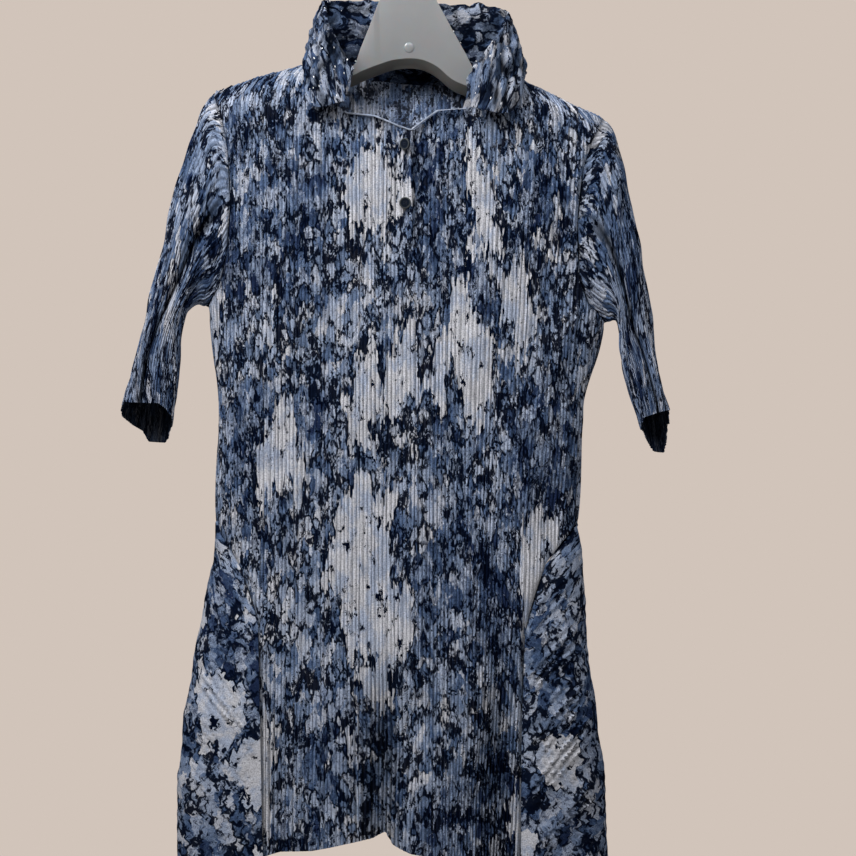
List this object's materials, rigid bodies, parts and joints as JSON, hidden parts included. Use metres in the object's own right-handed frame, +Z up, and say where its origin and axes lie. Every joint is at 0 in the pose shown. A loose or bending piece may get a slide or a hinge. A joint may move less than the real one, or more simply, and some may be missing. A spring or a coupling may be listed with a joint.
{
  "type": "long shirt on hanger",
  "caption": "Long pleated pullover shirt with elbow sleeves, tall open collar, half placket and flared side godets, hanging on a moulded hanger.",
  "frame": {"origin": "where a rail lies in the hook: the inner top of the hanger's hook", "axes": "+Z up, the shirt's front faces -Y, +X to the right as seen from the front"},
  "size_m": [0.5553, 0.1392, 0.9964],
  "materials": {
    "print_cloth": "fine permanent pleats, printed polyester",
    "button": "dark, softly polished",
    "hanger_plastic": "frosted, translucent grey"
  },
  "bodies": {
    "root": {"front_body": "print_cloth", "back_body": "print_cloth", "sleeve_left": "print_cloth", "sleeve_right": "print_cloth", "gore_left": "print_cloth", "gore_right": "print_cloth", "collar_stand": "print_cloth", "collar_leaf": "print_cloth", "placket_upper": "print_cloth", "placket_under": "print_cloth", "button_1": "button", "button_2": "button", "hanger": "hanger_plastic"}
  },
  "joints": []
}
